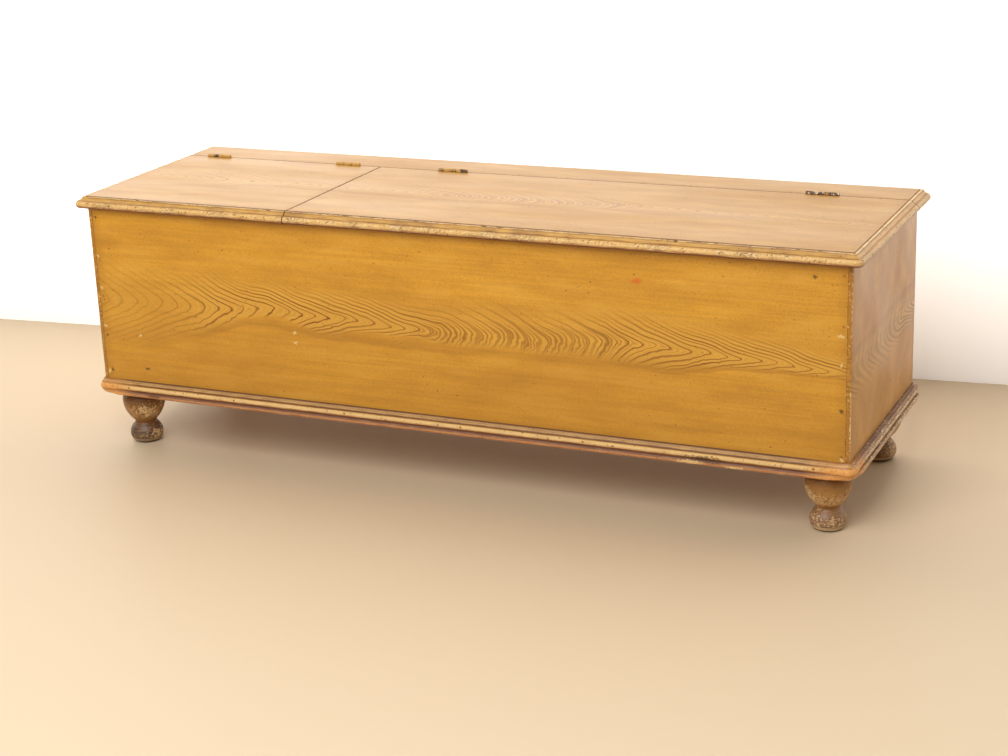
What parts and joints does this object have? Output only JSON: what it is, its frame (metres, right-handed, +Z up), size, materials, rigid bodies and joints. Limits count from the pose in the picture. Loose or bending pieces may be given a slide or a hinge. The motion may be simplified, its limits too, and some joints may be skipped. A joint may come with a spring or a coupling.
{
  "type": "blanket chest",
  "caption": "Long low painted pine blanket chest with separate lids hinged to a fixed back rail, moulded plinth and turned bun feet.",
  "frame": {"origin": "on the floor, under the middle of the outer box of the closed chest", "axes": "+X along the chest to the right as seen from the front, +Y to the back, +Z up"},
  "size_m": [1.565, 0.4926, 0.5215],
  "materials": {
    "grained_paint": "satin",
    "worn_moulding": "satin",
    "turned_foot": "satin",
    "bare_pine": "matte",
    "hinge_iron": "rough",
    "nail_iron": "rough",
    "screw_steel": "satin"
  },
  "bodies": {
    "carcass": {"back_board": "grained_paint", "back_nails": "nail_iron", "back_rail": "grained_paint", "bottom_board_1": "bare_pine", "bottom_board_2": "bare_pine", "bottom_board_3": "bare_pine", "bottom_nails": "nail_iron", "foot_back_left": "turned_foot", "foot_back_right": "turned_foot", "foot_front_left": "turned_foot", "foot_front_right": "turned_foot", "front_board": "grained_paint", "front_nails": "nail_iron", "left_end_board": "grained_paint", "left_inner_hinge_pin": "hinge_iron", "left_inner_hinge_rail_leaf": "hinge_iron", "left_outer_hinge_pin": "hinge_iron", "left_outer_hinge_rail_leaf": "hinge_iron", "partition": "bare_pine", "plinth_front": "worn_moulding", "plinth_left": "worn_moulding", "plinth_nails": "nail_iron", "plinth_right": "worn_moulding", "rail_hinge_screws": "screw_steel", "rail_moulding_left": "worn_moulding", "rail_moulding_nails": "nail_iron", "rail_moulding_right": "worn_moulding", "rail_nails": "nail_iron", "right_end_board": "grained_paint", "right_inner_hinge_pin": "hinge_iron", "right_inner_hinge_rail_leaf": "hinge_iron", "right_outer_hinge_pin": "hinge_iron", "right_outer_hinge_rail_leaf": "hinge_iron"},
    "left_lid": {"left_inner_hinge_lid_leaf": "hinge_iron", "left_lid_batten_1": "bare_pine", "left_lid_batten_2": "bare_pine", "left_lid_batten_screws": "screw_steel", "left_lid_board": "grained_paint", "left_lid_end_moulding": "worn_moulding", "left_lid_front_moulding": "worn_moulding", "left_lid_hinge_screws": "screw_steel", "left_lid_moulding_nails": "nail_iron", "left_outer_hinge_lid_leaf": "hinge_iron"},
    "right_lid": {"right_inner_hinge_lid_leaf": "hinge_iron", "right_lid_batten_1": "bare_pine", "right_lid_batten_2": "bare_pine", "right_lid_batten_3": "bare_pine", "right_lid_batten_screws": "screw_steel", "right_lid_board": "grained_paint", "right_lid_end_moulding": "worn_moulding", "right_lid_front_moulding": "worn_moulding", "right_lid_hinge_screws": "screw_steel", "right_lid_moulding_nails": "nail_iron", "right_outer_hinge_lid_leaf": "hinge_iron"}
  },
  "joints": [
    {"name": "left_lid_hinge", "type": "hinge", "parent": "carcass", "child": "left_lid", "pos_m": [-0.541, 0.15425, 0.5175], "axis": [-1, 0, 0], "range_deg": [0, 102]},
    {"name": "right_lid_hinge", "type": "hinge", "parent": "carcass", "child": "right_lid", "pos_m": [0.226, 0.15425, 0.5175], "axis": [-1, 0, 0], "range_deg": [0, 102]}
  ]
}
